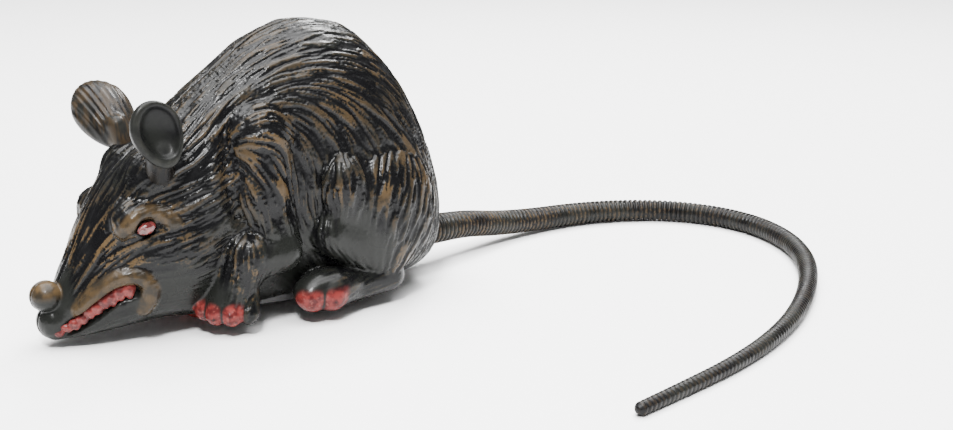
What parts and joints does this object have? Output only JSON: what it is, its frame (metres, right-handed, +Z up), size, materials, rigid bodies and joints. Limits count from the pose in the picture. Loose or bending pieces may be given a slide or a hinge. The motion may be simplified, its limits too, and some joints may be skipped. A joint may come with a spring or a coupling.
{
  "type": "wind-up toy rat",
  "caption": "Crouching toy rat in glossy moulded plastic with a ribbed tail; a spring motor wound by a flank key drives wheels under its belly.",
  "frame": {"origin": "on the floor, on the body's middle plane, below the front edge of the winding arbor's side of the motor", "axes": "the rat looks along -X, its right side (the key) is +Y, +Z is up"},
  "size_m": [0.2738, 0.2069, 0.0932],
  "materials": {
    "shell": "glossy black moulded plastic with tan dry-brushed fur",
    "ear": "glossy black with a tan wash",
    "base": "black, satin",
    "tail": "ribbed, dark brown, satin",
    "steel": "bright zinc",
    "spring_steel": "blued",
    "brass": "plain",
    "key": "nickel plated",
    "hub": "red",
    "tyre": "matte black rubber",
    "tin": "bright tinned sheet"
  },
  "bodies": {
    "body": {"body_half_left": "shell", "body_half_right": "shell", "ear_left": "ear", "ear_right": "ear", "belly_plate": "base", "belly_screws": "steel", "frame_screws": "steel", "body_screws": "steel", "frame_plate_left": "tin", "frame_plate_right": "tin", "frame_pillars": "steel", "mainspring": "spring_steel", "spring_stud": "steel", "roller_axle": "steel"},
    "winding": {"winding_arbor": "steel", "ratchet_wheel": "steel", "winding_key": "key"},
    "great": {"great_wheel": "brass", "click_rivet": "steel", "click_spring": "spring_steel"},
    "click": {"click": "steel"},
    "first": {"first_arbor": "steel", "first_pinion": "steel", "first_wheel": "brass"},
    "second": {"second_arbor": "steel", "second_pinion": "steel", "second_wheel": "brass"},
    "drive": {"drive_axle": "steel", "drive_pinion": "steel", "drive_hub_left": "hub", "drive_tyre_left": "tyre", "drive_hub_right": "hub", "drive_tyre_right": "tyre"},
    "roller": {"front_roller": "hub"},
    "tail": {"tail_ball": "tail", "tail": "tail"}
  },
  "joints": [
    {"name": "key_wind", "type": "hinge", "parent": "body", "child": "winding", "pos_m": [0.01, 0, 0.05], "axis": [0, -1, 0], "range_deg": [0, 1710], "deforming": ["mainspring"]},
    {"name": "great_spin", "type": "hinge", "parent": "body", "child": "great", "pos_m": [0.01, 0, 0.05], "axis": [0, -1, 0], "continuous": true},
    {"name": "click_lift", "type": "hinge", "parent": "great", "child": "click", "pos_m": [0.01498, 0.001, 0.05936], "axis": [0, 1, 0], "range_deg": [0, 10], "stiffness_Nm_per_rad": 0.002, "springref_deg": -5.73, "deforming": ["click_spring"]},
    {"name": "first_spin", "type": "hinge", "parent": "body", "child": "first", "pos_m": [0.01285, 0, 0.02919], "axis": [0, -1, 0], "continuous": true},
    {"name": "second_spin", "type": "hinge", "parent": "body", "child": "second", "pos_m": [0.02329, 0, 0.01987], "axis": [0, -1, 0], "continuous": true},
    {"name": "drive_spin", "type": "hinge", "parent": "body", "child": "drive", "pos_m": [0.026, 0, 0.009], "axis": [0, -1, 0], "continuous": true},
    {"name": "roller_spin", "type": "hinge", "parent": "body", "child": "roller", "pos_m": [-0.0225, 0, 0.0055], "axis": [0, -1, 0], "continuous": true},
    {"name": "tail_swing", "type": "hinge", "parent": "body", "child": "tail", "pos_m": [0.052, 0, 0.0136], "axis": [0, 0, 1], "range_deg": [-8, 8]}
  ],
  "couplings": [
    {"joint": "second_spin", "follows": "drive_spin", "ratio": -0.6},
    {"joint": "first_spin", "follows": "drive_spin", "ratio": 0.2},
    {"joint": "great_spin", "follows": "drive_spin", "ratio": -0.05}
  ]
}
